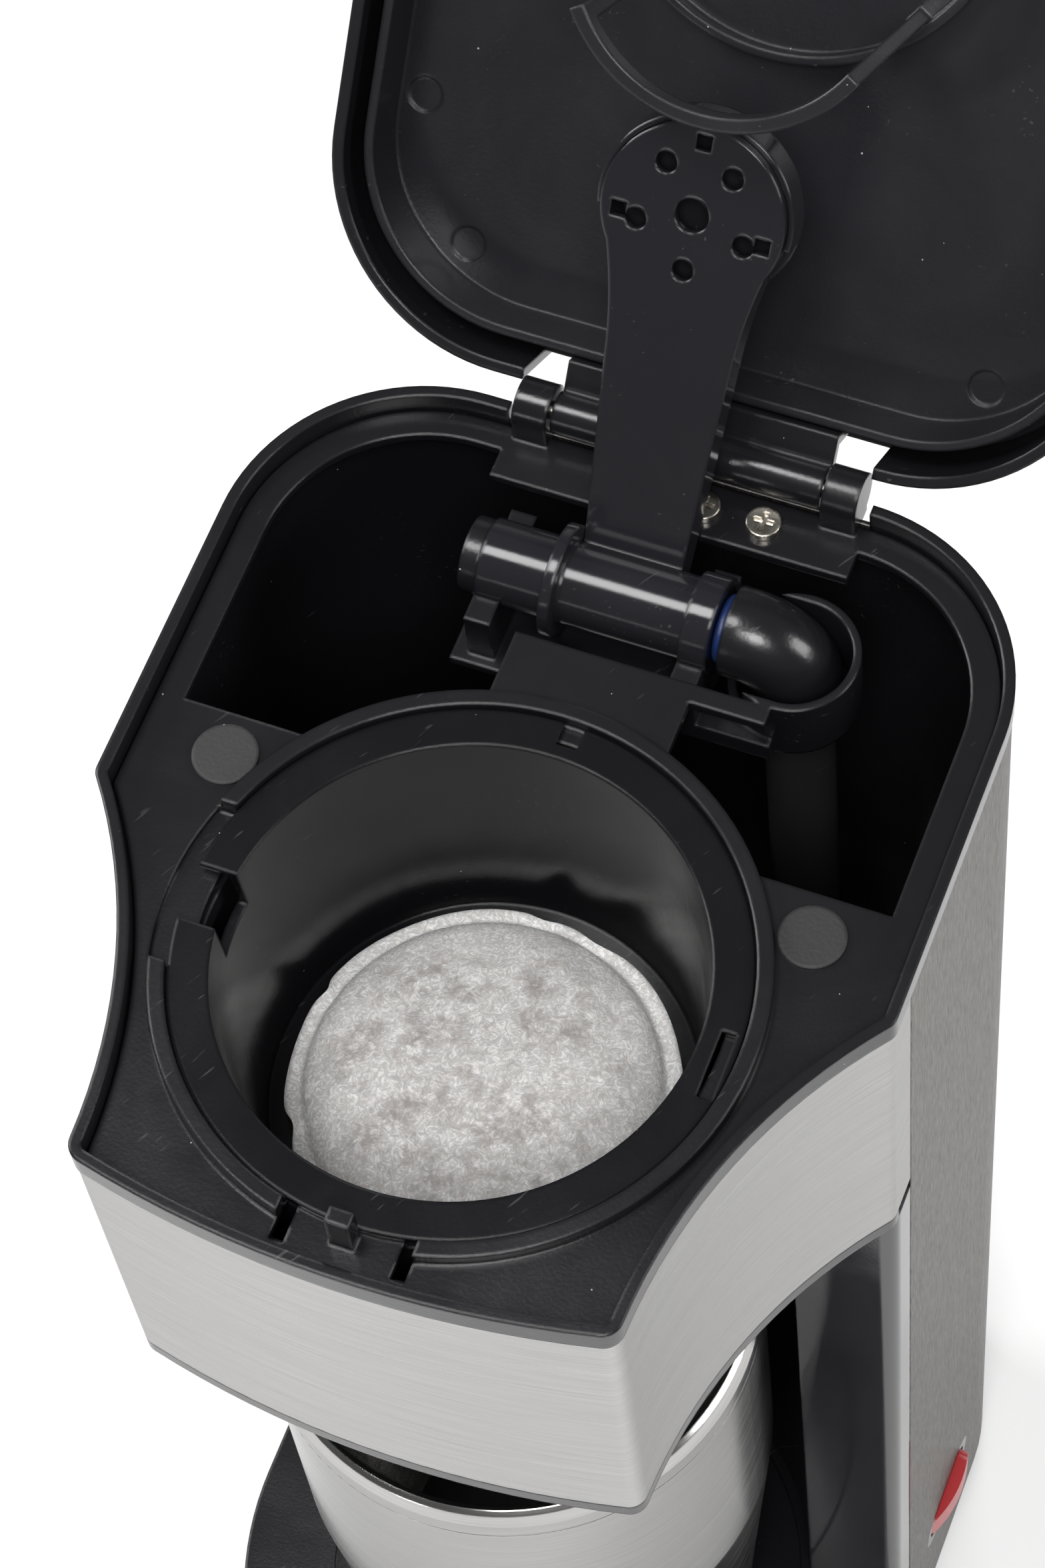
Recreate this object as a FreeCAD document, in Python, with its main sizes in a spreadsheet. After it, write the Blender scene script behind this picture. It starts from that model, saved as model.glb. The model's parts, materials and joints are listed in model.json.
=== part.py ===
import FreeCAD, Part
import math
import os
import re

from FreeCAD import Placement, Rotation, Vector

# One-cup drip coffee maker, millimetres.
# +Z is up, the cup side faces -Y, and the origin lies on the table under the brew basket's axis.

DOC = FreeCAD.newDocument("one_cup_brewer")
SHEET = DOC.addObject("Spreadsheet::Sheet", "Sizes")

SIZES = (
    # Plan of the tower and the brew head
    ("tower_half", 67.6),
    ("tower_front", 12.0),
    ("tower_rear", 98.8),
    ("rear_radius", 34.0),
    ("head_half", 45.4),
    ("head_reach", 50.3),
    ("head_bow", 5.5),
    ("corner_radius", 3.5),
    ("shoulder_radius", 3.0),
    ("least_radius", 0.6),
    ("front_flat", 0.01),
    # Heights above the table
    ("foot_height", 2.0),
    ("base_top", 54.0),
    ("tank_floor", 86.0),
    ("rim_top", 336.0),
    ("head_drop", 81.0),
    # Sheet steel skin and plastic walls
    ("skin_inset", 0.3),
    ("skin_wall", 0.8),
    ("skin_gap", 0.05),
    ("shell_wall", 2.0),
    ("floor_wall", 2.5),
    ("wrap_front", 20.6),
    ("wrap_joint", 0.7),
    ("trim_height", 3.5),
    ("cover_wall", 1.7),
    ("bay_radius", 51.0),
    # Base
    ("base_centre", 6.3),
    ("base_wall", 2.4),
    ("cup_recess_radius", 49.0),
    ("cup_recess_depth", 1.2),
    ("cup_y", -4.2),
    ("plate_wall", 2.0),
    ("plate_gap", 0.15),
    ("foot_radius", 7.0),
    ("foot_edge", 21.6),
    ("foot_front_y", -40.0),
    ("foot_rear_y", 76.0),
    ("boss_radius", 4.0),
    ("boss_edge", 12.6),
    ("boss_front_y", -22.0),
    ("boss_rear_y", 62.0),
    ("screw_radius", 1.5),
    ("screw_head", 2.9),
    ("screw_length", 12.0),
    # Top frame and deck, depths below the rim
    ("rim_side", 5.0),
    ("rim_ridge", 2.0),
    ("rim_depth", 9.0),
    ("rim_shelf", 5.0),
    ("deck_drop", 4.0),
    ("deck_plate", 2.0),
    ("deck_gap", 0.4),
    ("ledge_inset", 7.1),
    ("tab_rear", 31.0),
    ("plug_x", 50.0),
    ("plug_y", 23.4),
    ("plug_radius", 5.5),
    ("plug_height", 0.5),
    ("well_radius", 43.0),
    ("well_wall", 2.0),
    ("ring_inner", 46.4),
    ("ring_outer", 49.1),
    ("ring_rise", 2.4),
    ("bridge_left", 14.0),
    ("bridge_right", 17.2),
    ("wing_depth", 3.4),
    ("shelf_front", 86.5),
    ("shelf_left", -29.0),
    ("shelf_right", 33.5),
    ("deck_screw_x", 6.9),
    ("deck_screw_pitch", 10.5),
    ("deck_screw_y", 91.6),
    ("cross_length", 3.4),
    ("cross_width", 0.8),
    ("cross_depth", 0.7),
    ("finger_inner", 40.0),
    ("finger_half", 14.5),
    ("finger_depth", 1.2),
    ("catch_half", 11.2),
    ("catch_slot", 2.4),
    ("catch_slot_front", 51.5),
    ("catch_slot_rear", 44.0),
    ("hook_half", 2.0),
    ("hook_rise", 4.5),
    # Water arm and its fixed pipe
    ("arm_y", 72.0),
    ("arm_drop", 5.0),
    ("arm_x", -0.6),
    ("arm_open_angle", 124.0),
    ("tube_radius", 7.0),
    ("tube_bore", 4.2),
    ("tube_left", -23.3),
    ("collar_left", 12.5),
    ("collar_right", 17.2),
    ("collar_radius", 8.2),
    ("flange_x", -11.4),
    ("flange_wall", 2.0),
    ("flange_radius", 9.6),
    ("plug_reach", 6.3),
    ("plug_cap", 3.2),
    ("run_gap", 0.05),
    ("arm_reach", 66.0),
    ("arm_under", 4.3),
    ("arm_thick", 6.5),
    ("arm_root_half", 8.0),
    ("arm_neck_half", 10.4),
    ("arm_neck_y", 33.0),
    ("arm_wall", 1.6),
    ("spray_radius", 15.2),
    ("cap_gap", 0.1),
    ("cap_wall", 0.9),
    ("hole_centre", 2.85),
    ("hole_small", 1.8),
    ("hole_ring", 9.4),
    ("latch_ring", 12.2),
    ("latch_size", 2.6),
    ("pipe_radius", 7.6),
    ("pipe_left", 19.0),
    ("riser_x", 30.0),
    ("bend_radius", 9.0),
    ("riser_radius", 6.0),
    ("oring_minor", 0.85),
    ("trough_front", 60.0),
    ("trough_rear", 82.0),
    ("trough_left", -26.0),
    ("trough_depth", 18.0),
    ("saddle_wall", 5.0),
    ("cradle_y", 70.8),
    ("cradle_radius", 9.6),
    ("cradle_wall", 1.4),
    # Lid, modelled closed and then swung open
    ("lid_gap", 0.8),
    ("lid_inset", 0.2),
    ("lid_rear", 3.3),
    ("lid_height", 17.0),
    ("lid_wall", 2.0),
    ("lid_round", 2.2),
    ("lid_open_angle", 127.0),
    ("hinge_y", 99.0),
    ("hinge_rise", 0.5),
    ("hinge_x", 2.1),
    ("ear_span", 27.0),
    ("ear_wall", 6.0),
    ("ear_radius", 4.5),
    ("barrel_radius", 3.6),
    ("rod_radius", 1.6),
    ("hinge_gap", 0.5),
    ("hinge_room", 2.2),
    ("skirt_inset", 4.6),
    ("skirt_wall", 1.6),
    ("skirt_rise", 2.8),
    ("boss_disc", 34.6),
    ("boss_rise", 4.0),
    ("stirrup_x", 1.0),
    ("stirrup_y", 8.0),
    ("stirrup_drop", 30.0),
    ("stirrup_radius", 26.0),
    ("stirrup_angle", 59.0),
    ("stirrup_wall", 2.4),
    ("stirrup_width", 3.2),
    ("mark_radius", 3.0),
    ("mark_depth", 0.35),
    ("mark_side_x", 57.0),
    ("mark_side_y", 56.6),
    ("mark_rear_x", 45.5),
    ("mark_rear_y", 80.0),
    # Brew basket and coffee pad
    ("basket_radius", 39.5),
    ("basket_floor_radius", 36.2),
    ("basket_floor", 52.3),
    ("basket_wall", 1.6),
    ("flange_top", 2.6),
    ("basket_flange", 46.0),
    ("seat_gap", 0.2),
    ("window_half", 4.9),
    ("window_y", -1.5),
    ("window_depth", 12.0),
    ("notch_width", 3.6),
    ("notch_depth", 4.0),
    ("flange_slot_inner", 40.8),
    ("flange_slot_outer", 43.2),
    ("flange_slot_half", 5.8),
    ("flange_slot_y", -2.6),
    ("spout_radius", 7.0),
    ("spout_bore", 2.2),
    ("spout_drop", 72.0),
    ("pad_radius", 33.6),
    ("pad_height", 13.8),
    ("pad_border", 5.6),
    ("pad_gap", 0.4),
    # Tumbler
    ("tumbler_radius", 45.4),
    ("tumbler_foot_radius", 38.6),
    ("tumbler_shoulder", 142.0),
    ("tumbler_seam", 206.4),
    ("tumbler_top", 214.4),
    ("tumbler_wall", 1.0),
    ("tumbler_jacket", 4.4),
    ("tumbler_pad", 3.0),
    # Water heater, hoses and electrics inside the base
    ("heater_z", 26.0),
    ("heater_radius", 7.0),
    ("heater_rear", 20.0),
    ("heater_front", -8.0),
    ("inlet_x", -21.0),
    ("hose_radius", 6.0),
    ("hose_bend", 12.0),
    ("valve_length", 14.0),
    ("valve_radius", 7.5),
    ("clip_wall", 1.2),
    ("clip_width", 4.0),
    ("clamp_wall", 2.0),
    ("clamp_width", 9.0),
    ("stat_radius", 8.0),
    ("stat_height", 7.0),
    ("fuse_radius", 2.2),
    ("fuse_length", 18.0),
    ("gland_x", -20.0),
    ("gland_z", 17.0),
    ("gland_radius", 5.5),
    # Rocker switch on the right-hand side
    ("switch_y", 45.0),
    ("switch_z", 33.0),
    ("switch_length", 26.0),
    ("switch_height", 13.0),
    ("switch_depth", 17.0),
    ("bezel_wall", 2.4),
    ("pocket_depth", 6.0),
    ("rocker_gap", 0.4),
    ("rocker_rise", 2.4),
    ("rocker_tilt_angle", 7.0),
    ("pin_radius", 1.2),
    ("pin_reach", 1.0),
)

for row, (alias, number) in enumerate(SIZES, start=1):
    SHEET.set("A%d" % row, alias)
    SHEET.set("B%d" % row, str(number))
    SHEET.setAlias("B%d" % row, alias)
DOC.recompute()


class SheetReader:
    """Gives a cell's number by its alias, as in S.rim_top."""

    def __getattr__(self, alias):
        return float(SHEET.get(alias))


S = SheetReader()
PIECES = {}
BIG = "rim_top*3"
AXIS_TURN = {
    "z": Rotation(),
    "x": Rotation(Vector(0, 1, 0), 90),
    "y": Rotation(Vector(1, 0, 0), -90),
}


# Document helpers


def bind(thing, prop, formula):
    """Ties a property to the sheet; every word in the formula is a cell's alias."""
    words = re.sub(r"[a-z][a-z0-9_]*", lambda word: "Sizes." + word.group(0), formula)
    thing.setExpression(prop, words)


def place(thing, x, y, z):
    """Ties an object's position to the sheet."""
    bind(thing, "Placement.Base.x", x)
    bind(thing, "Placement.Base.y", y)
    bind(thing, "Placement.Base.z", z)
    return thing


def box(x, y, z, length, width, height):
    """Makes a block from its low corner and its three sizes, all formulas."""
    thing = DOC.addObject("Part::Box", "block")
    bind(thing, "Length", length)
    bind(thing, "Width", width)
    bind(thing, "Height", height)
    return place(thing, x, y, z)


def span(x0, x1, y0, y1, z0, z1):
    """Makes a block between two corners."""
    sides = ["(%s)-(%s)" % pair for pair in ((x1, x0), (y1, y0), (z1, z0))]
    return box(x0, y0, z0, *sides)


def rod(x, y, z, radius, length, axis="z"):
    """Makes a cylinder that starts at a point and runs along one axis."""
    thing = DOC.addObject("Part::Cylinder", "rod")
    thing.Placement = Placement(Vector(), AXIS_TURN[axis])
    bind(thing, "Radius", radius)
    bind(thing, "Height", length)
    return place(thing, x, y, z)


def bend(x, y, z, radius, thickness, turn, angle=90):
    """Makes part of a torus; turn sets where its plane and its start lie."""
    thing = DOC.addObject("Part::Torus", "bend")
    thing.Placement = Placement(Vector(), turn)
    bind(thing, "Radius1", radius)
    bind(thing, "Radius2", thickness)
    thing.Angle3 = angle
    return place(thing, x, y, z)


def fuse(*things):
    """Joins solids into one."""
    whole = DOC.addObject("Part::MultiFuse", "joined")
    whole.Shapes = list(things)
    return whole


def cut(base, *tools):
    """Cuts one or more tools out of a solid."""
    whole = DOC.addObject("Part::Cut", "cut")
    whole.Base = base
    whole.Tool = tools[0] if len(tools) == 1 else fuse(*tools)
    return whole


def common(base, tool):
    """Keeps what two solids share."""
    whole = DOC.addObject("Part::Common", "shared")
    whole.Base = base
    whole.Tool = tool
    return whole


def keep(label, thing):
    """Names a finished piece."""
    thing.Label = label
    PIECES[label] = thing
    return thing


def sketch(wires, name="outline", turn=Rotation()):
    """Makes a sketch from closed lists of curves."""
    drawn = DOC.addObject("Sketcher::SketchObject", name)
    drawn.Placement = Placement(Vector(), turn)
    for wire in wires:
        drawn.addGeometry(wire, False)
    return drawn


def extrude(wires, z, height):
    """Raises sketched outlines from one height by a length; inner outlines stay open."""
    drawn = sketch(wires)
    bind(drawn, "Placement.Base.z", z)
    solid = DOC.addObject("Part::Extrusion", "raised")
    solid.Base = drawn
    solid.DirMode = "Custom"
    solid.Dir = Vector(0, 0, 1)
    solid.Solid = True
    bind(solid, "LengthFwd", height)
    return solid


def turned(label, points):
    """Makes a body of revolution about its own upright axis from (radius, height) points."""
    body = DOC.addObject("PartDesign::Body", label + "_body")
    plane = [item for item in body.Origin.OriginFeatures if item.Role == "XZ_Plane"][0]
    drawn = body.newObject("Sketcher::SketchObject", label + "_profile")
    drawn.AttachmentSupport = (plane, [""])
    drawn.MapMode = "FlatFace"
    drawn.addGeometry(polygon(points), False)
    solid = body.newObject("PartDesign::Revolution", label + "_turn")
    solid.Profile = drawn
    solid.ReferenceAxis = (drawn, ["V_Axis"])
    solid.Angle = 360
    return body


def polygon(points):
    """Gives the sides of a closed polygon."""
    corners = [Vector(x, y, 0) for x, y in points]
    ends = corners[1:] + corners[:1]
    return [Part.LineSegment(start, end) for start, end in zip(corners, ends)]


def arc(start, middle, end):
    """Gives a circular arc through three points."""
    return Part.Arc(Vector(*start, 0), Vector(*middle, 0), Vector(*end, 0))


def line(start, end):
    """Gives a straight side."""
    return Part.LineSegment(Vector(*start, 0), Vector(*end, 0))


# Outlines seen from above


def toward(centre, point, distance):
    """Gives the point that lies a distance from a centre in another point's direction."""
    dx, dy = point[0] - centre[0], point[1] - centre[1]
    length = math.hypot(dx, dy)
    return (centre[0] + dx / length * distance, centre[1] + dy / length * distance)


def between(centre, start, end, radius):
    """Gives the middle of the short arc from start to end about a centre."""
    middle = ((start[0] + end[0]) / 2, (start[1] + end[1]) / 2)
    return toward(centre, middle, radius)


def mirror(point):
    """Mirrors a point in the middle plane."""
    return (-point[0], point[1])


def brewer_outline(inset, rear_cut=0.0):
    """Plan of rim, head and tower together, moved inwards by inset and shortened at the rear.

    The front bows out, the head's sides are hollow arcs that start parallel to Y, and the
    tower ends in two large rear corners. Small arcs round the front corners and shoulders.
    """
    half = S.tower_half - inset
    rear = S.tower_rear - inset - rear_cut
    corner = max(S.rear_radius - inset, S.least_radius)
    front_round = max(S.corner_radius - inset, S.least_radius)
    shoulder_round = max(S.shoulder_radius - inset, S.least_radius)
    bow = (S.head_half**2 + S.head_bow**2) / (2 * S.head_bow)
    bow_centre = (0.0, bow - S.head_reach - S.head_bow)
    narrowing = S.tower_half - S.head_half
    hollow = (narrowing**2 + (S.tower_front + S.head_reach) ** 2) / (2 * narrowing)
    waist_centre = (S.head_half + hollow, -S.head_reach)
    bow_radius = bow - inset
    waist = hollow + inset
    # Centre of the front rounding: inside the bow, outside the waist arc
    gap = math.dist(bow_centre, waist_centre)
    near = bow_radius - front_round
    far = waist + front_round
    along = (near**2 - far**2 + gap**2) / (2 * gap)
    across = math.sqrt(near**2 - along**2)
    ux, uy = (waist_centre[0] - bow_centre[0]) / gap, (waist_centre[1] - bow_centre[1]) / gap
    front = (bow_centre[0] + along * ux + across * uy, bow_centre[1] + along * uy - across * ux)
    bow_end = toward(bow_centre, front, bow_radius)
    waist_start = toward(waist_centre, front, waist)
    # Centre of the shoulder rounding: beside the tower's side, outside the waist arc
    shoulder_x = half - shoulder_round
    beside = waist_centre[0] - shoulder_x
    shoulder_y = waist_centre[1] + math.sqrt((waist + shoulder_round) ** 2 - beside**2)
    shoulder = (shoulder_x, shoulder_y)
    waist_end = toward(waist_centre, shoulder, waist)
    side_start = (half, shoulder_y)
    side_end = (half, rear - corner)
    corner_centre = (half - corner, rear - corner)
    rear_start = (half - corner, rear)
    right = [
        (bow_end, between(front, bow_end, waist_start, front_round), waist_start),
        (waist_start, between(waist_centre, waist_start, waist_end, waist), waist_end),
        (waist_end, between(shoulder, waist_end, side_start, shoulder_round), side_start),
        (side_end, between(corner_centre, side_end, rear_start, corner), rear_start),
    ]
    curves = [arc(mirror(bow_end), (0.0, bow_centre[1] - bow_radius), bow_end)]
    for start, middle, end in right:
        curves.append(arc(start, middle, end))
        curves.append(arc(mirror(end), mirror(middle), mirror(start)))
    curves.append(line(side_start, side_end))
    curves.append(line(mirror(side_end), mirror(side_start)))
    curves.append(line(rear_start, mirror(rear_start)))
    return curves


def rounded_outline(half, front, rear, front_radius, rear_radius):
    """Plan of a block with two front and two rear corner radii."""
    right = []
    for radius, y, way in ((front_radius, front, 1), (rear_radius, rear, -1)):
        centre = (half - radius, y + way * radius)
        start, end = (half - radius, y), (half, y + way * radius)
        right.append((start, between(centre, start, end, radius), end))
    curves = []
    for start, middle, end in right:
        curves.append(arc(start, middle, end))
        curves.append(arc(mirror(end), mirror(middle), mirror(start)))
        curves.append(line(mirror(start), start))
    curves.append(line(right[0][2], right[1][2]))
    curves.append(line(mirror(right[0][2]), mirror(right[1][2])))
    return curves


def tower_outline(inset):
    """Plan of the tower alone, moved inwards by inset."""
    return rounded_outline(
        S.tower_half - inset,
        S.tower_front + inset,
        S.tower_rear - inset,
        max(S.shoulder_radius - inset, S.least_radius),
        S.rear_radius - inset,
    )


def base_outline(inset):
    """Plan of the foot: a half round front as wide as the tower, and the tower's rear corners."""
    half = S.tower_half - inset
    return rounded_outline(
        half,
        -S.base_centre - half,
        S.tower_rear - inset,
        half - S.front_flat,
        S.rear_radius - inset,
    )


def skin_back():
    """Inset of the walls that carry the steel skin."""
    return S.skin_inset + S.skin_wall + S.skin_gap


def behind(y):
    """Half space behind a depth, as a large block."""
    return box("0-" + BIG + "/2", y, "0-" + BIG + "/2", BIG, BIG, BIG)


def ahead(y):
    """Half space in front of a depth, as a large block."""
    return box("0-" + BIG + "/2", "(" + y + ")-" + BIG, "0-" + BIG + "/2", BIG, BIG, BIG)


def oval(x, length, height, depth):
    """Makes a lying oval prism on the switch's axis, from x inwards to the right by depth."""
    straight = "(%s)-(%s)" % (length, height)
    block = box(x, "switch_y-(%s)/2" % straight, "switch_z-(%s)/2" % height, depth, straight, height)
    ends = [
        rod(x, "switch_y%s(%s)/2" % (sign, straight), "switch_z", "(%s)/2" % height, depth, "x")
        for sign in "+-"
    ]
    return fuse(block, *ends)


# Base


def make_base():
    """Foot moulding, bottom plate, feet and the screws between them."""
    shell_height = "base_top-foot_height"
    joint_y = "wrap_front-wrap_joint"
    front = common(extrude(base_outline(S.skin_inset), "foot_height", shell_height), ahead(joint_y))
    back = common(extrude(base_outline(skin_back()), "foot_height", shell_height), behind(joint_y))
    inside = skin_back() + S.base_wall
    hollow = extrude(base_outline(inside), "foot_height", shell_height + "-base_wall")
    recess = rod("0", "cup_y", "base_top-cup_recess_depth", "cup_recess_radius", "cup_recess_depth*2")
    boss_places = [
        (x, y)
        for x in ("boss_edge-tower_half", "tower_half-boss_edge")
        for y in ("boss_front_y", "boss_rear_y")
    ]
    plate_top = "foot_height+plate_gap*2+plate_wall"
    bosses = [
        rod(x, y, plate_top, "boss_radius", "base_top-base_wall-(%s)" % plate_top) for x, y in boss_places
    ]
    boss_holes = [rod(x, y, plate_top, "screw_radius", "screw_length") for x, y in boss_places]
    hose_holes = [
        rod(x, "arm_y", "base_top-base_wall*2", "hose_radius+run_gap*4", "base_wall*3")
        for x in ("inlet_x", "riser_x")
    ]
    gland_hole = rod("gland_x", "tower_rear-rear_radius", "gland_z", "gland_radius", "rear_radius*2", "y")
    switch_hole = oval("tower_half-switch_depth", "switch_length", "switch_height", "switch_depth*2")
    hollowed = cut(fuse(front, back), hollow)
    holes = [recess, switch_hole, gland_hole] + hose_holes + boss_holes
    keep("base_housing", cut(fuse(hollowed, *bosses), *holes))

    plate = extrude(base_outline(inside + S.plate_gap), "foot_height+plate_gap", "plate_wall")
    plate_holes = [
        rod(x, y, "foot_height-plate_wall", "screw_radius+run_gap", "plate_wall*4") for x, y in boss_places
    ]
    saddles = [
        span(
            x + "-heater_radius", x + "+heater_radius", "heater_front", "heater_front+clamp_width",
            "foot_height+plate_gap", "heater_z",
        )
        for x in ("inlet_x", "riser_x")
    ]
    legs = [
        rod(x, "heater_front-clamp_width", "heater_z", "heater_radius+run_gap", "heater_rear*3", "y")
        for x in ("inlet_x", "riser_x")
    ]
    keep("base_plate", cut(fuse(plate, *saddles), *(plate_holes + legs)))

    feet = [
        rod(x, y, "0", "foot_radius", "foot_height+plate_gap")
        for x in ("foot_edge-tower_half", "tower_half-foot_edge") for y in ("foot_front_y", "foot_rear_y")
    ]
    feet.append(rod("0", "0", "0", "foot_radius", "foot_height+plate_gap"))
    keep("rubber_feet", compound(feet))
    screws = [
        fuse(
            rod(x, y, "foot_height+plate_gap-screw_radius", "screw_head", "screw_radius"),
            rod(x, y, "foot_height+plate_gap-screw_radius/2", "screw_radius", "screw_length"),
        )
        for x, y in boss_places
    ]
    keep("base_screws", compound(screws))


def compound(things):
    """Groups separate solids that share one piece's name."""
    group = DOC.addObject("Part::Compound", "group")
    group.Links = list(things)
    return group


# Tower and brew head


def make_tower():
    """Steel wrap, front cover and the inner tower with the water tank."""
    rim_seat = "rim_top-rim_depth"
    wrap = cut(
        extrude(tower_outline(S.skin_inset), "foot_height", "rim_top-rim_side-skin_gap-foot_height"),
        extrude(tower_outline(S.skin_inset + S.skin_wall), "0", "rim_top"),
    )
    switch_hole = oval("tower_half-switch_depth", "switch_length", "switch_height", "switch_depth*2")
    gland_hole = rod("gland_x", "tower_rear-rear_radius", "gland_z", "gland_radius", "rear_radius*2", "y")
    keep("tower_wrap", cut(common(wrap, behind("wrap_front")), switch_hole, gland_hole))

    head_floor = "rim_top-head_drop"
    bay_height = head_floor + "-base_top"
    cover_front = "tower_front+skin_inset"
    inside = extrude(tower_outline(S.skin_inset + S.skin_wall), "0", "rim_top")
    sheet = cut(
        common(extrude(tower_outline(S.skin_inset), "base_top", bay_height), ahead("wrap_front-wrap_joint")),
        common(inside, behind(cover_front + "+cover_wall")),
    )
    bay_skin = rod("0", "cup_y", "base_top", "bay_radius+cover_wall", bay_height)
    hollow_front = common(bay_skin, behind(cover_front))
    bay = rod("0", "cup_y", "0", "bay_radius", "rim_top")
    keep("tower_front_cover", cut(fuse(sheet, hollow_front), bay))

    wall = cut(
        extrude(tower_outline(skin_back()), "base_top", rim_seat + "-base_top"),
        extrude(tower_outline(skin_back() + S.shell_wall), "0", "rim_top"),
    )
    front_y = cover_front + "+cover_wall+skin_gap"
    half = "tower_half-skin_inset-skin_wall-skin_gap"
    front_wall = span("0-(%s)" % half, half, front_y, front_y + "+shell_wall", "base_top", rim_seat)
    floor = extrude(tower_outline(skin_back()), "tank_floor", "floor_wall")
    bay_back = "bay_radius+cover_wall+skin_gap"
    bay_wall = rod("0", "cup_y", "base_top", bay_back + "+shell_wall", bay_height + "+floor_wall")
    well = rod("0", "0", head_floor, "well_radius+well_wall", "head_drop-rim_depth")
    core = common(extrude(tower_outline(skin_back()), "base_top", rim_seat + "-base_top"), behind(front_y))
    walls = common(fuse(wall, front_wall, floor, bay_wall, well), core)
    bay_room = rod("0", "cup_y", "0", bay_back, head_floor)
    well_hole = rod("0", "0", head_floor + "+floor_wall", "well_radius", "head_drop")
    spout_hole = rod("0", "0", head_floor + "-floor_wall", "spout_radius*3", "floor_wall*4")
    riser_hole = rod("riser_x", "arm_y", "tank_floor-floor_wall", "riser_radius+run_gap", "floor_wall*3")
    outlet_hole = rod("inlet_x", "arm_y", "tank_floor-floor_wall", "hose_radius+clip_wall", "floor_wall*3")
    keep("tower_shell", cut(walls, bay_room, well_hole, spout_hole, riser_hole, outlet_hole))

    joint_y = front_y + "-skin_gap"
    head_wall = cut(
        extrude(brewer_outline(skin_back()), head_floor, "head_drop-rim_depth"),
        extrude(brewer_outline(skin_back() + S.shell_wall), head_floor + "+floor_wall", "head_drop"),
    )
    trim = extrude(brewer_outline(S.skin_inset), head_floor, "trim_height")
    trim_room = extrude(brewer_outline(skin_back() + S.shell_wall), head_floor + "+floor_wall", "head_drop")
    well_front = common(well, ahead(joint_y))
    body = common(fuse(head_wall, cut(trim, trim_room)), ahead(joint_y))
    keep("head_shell", cut(fuse(body, well_front), well_hole, spout_hole))

    band_height = "head_drop-trim_height-rim_side-skin_gap"
    band = cut(
        extrude(brewer_outline(S.skin_inset), head_floor + "+trim_height", band_height),
        extrude(brewer_outline(S.skin_inset + S.skin_wall), "0", "rim_top"),
    )
    keep("head_band", common(band, ahead("wrap_front-wrap_joint")))


# Top frame and deck


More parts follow.
